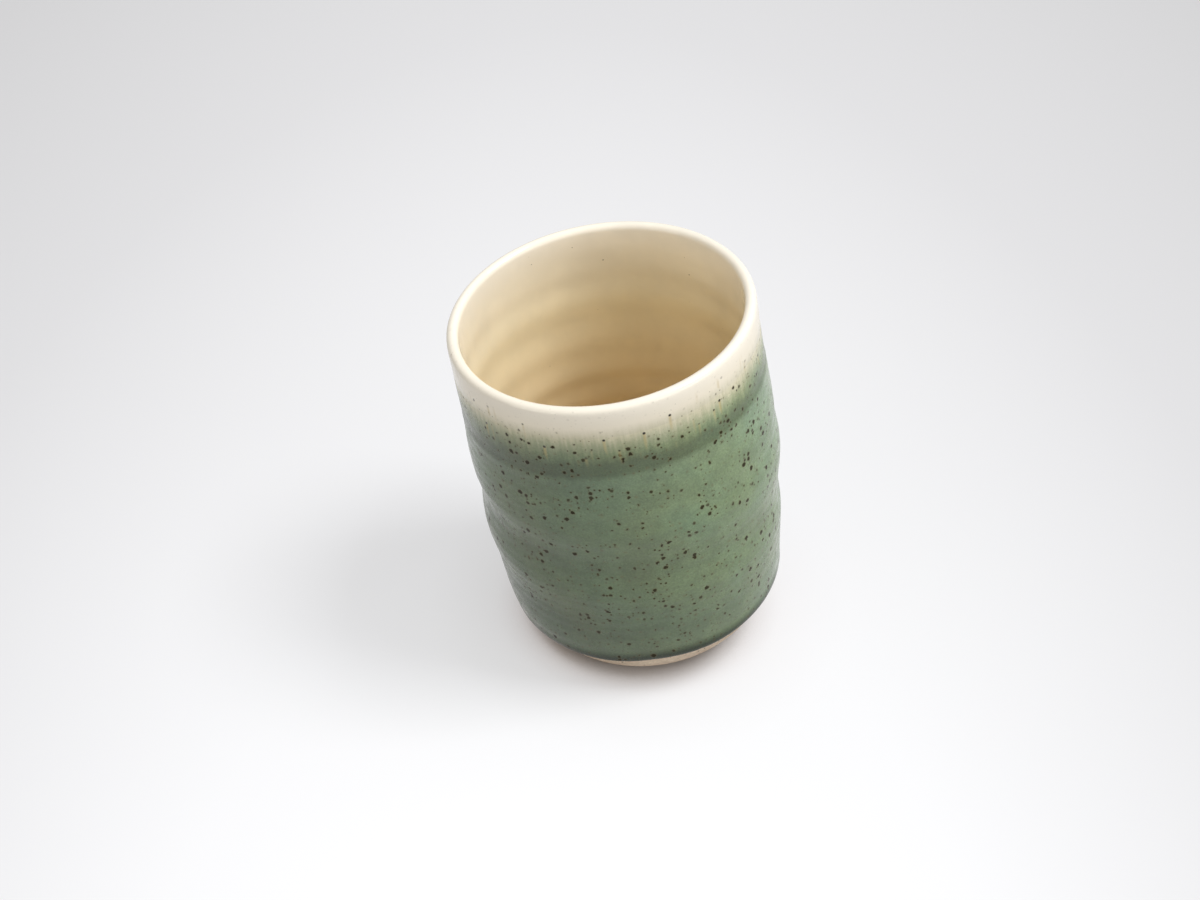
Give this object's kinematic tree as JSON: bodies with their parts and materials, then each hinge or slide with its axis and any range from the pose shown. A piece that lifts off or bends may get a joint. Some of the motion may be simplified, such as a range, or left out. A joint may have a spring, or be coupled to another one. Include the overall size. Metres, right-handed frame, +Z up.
{
  "type": "yunomi tea cup",
  "caption": "Tall handleless tea cup of thrown stoneware, cream glaze inside and over the lip, speckled green glaze outside, leaning on a domed bare base.",
  "frame": {"origin": "centre of the flat that the cup stands on", "axes": "+Z up from the ground, the cup leans towards -X, -Y towards the camera"},
  "size_m": [0.0851, 0.078, 0.1026],
  "materials": {
    "bare_clay": "matte, unglazed speckled stoneware",
    "cream_glaze": "satin gloss cream",
    "green_glaze": "satin sage green with iron specks"
  },
  "bodies": {
    "root": {"clay_body": "bare_clay", "liner_glaze": "cream_glaze", "green_glaze": "green_glaze"}
  },
  "joints": []
}
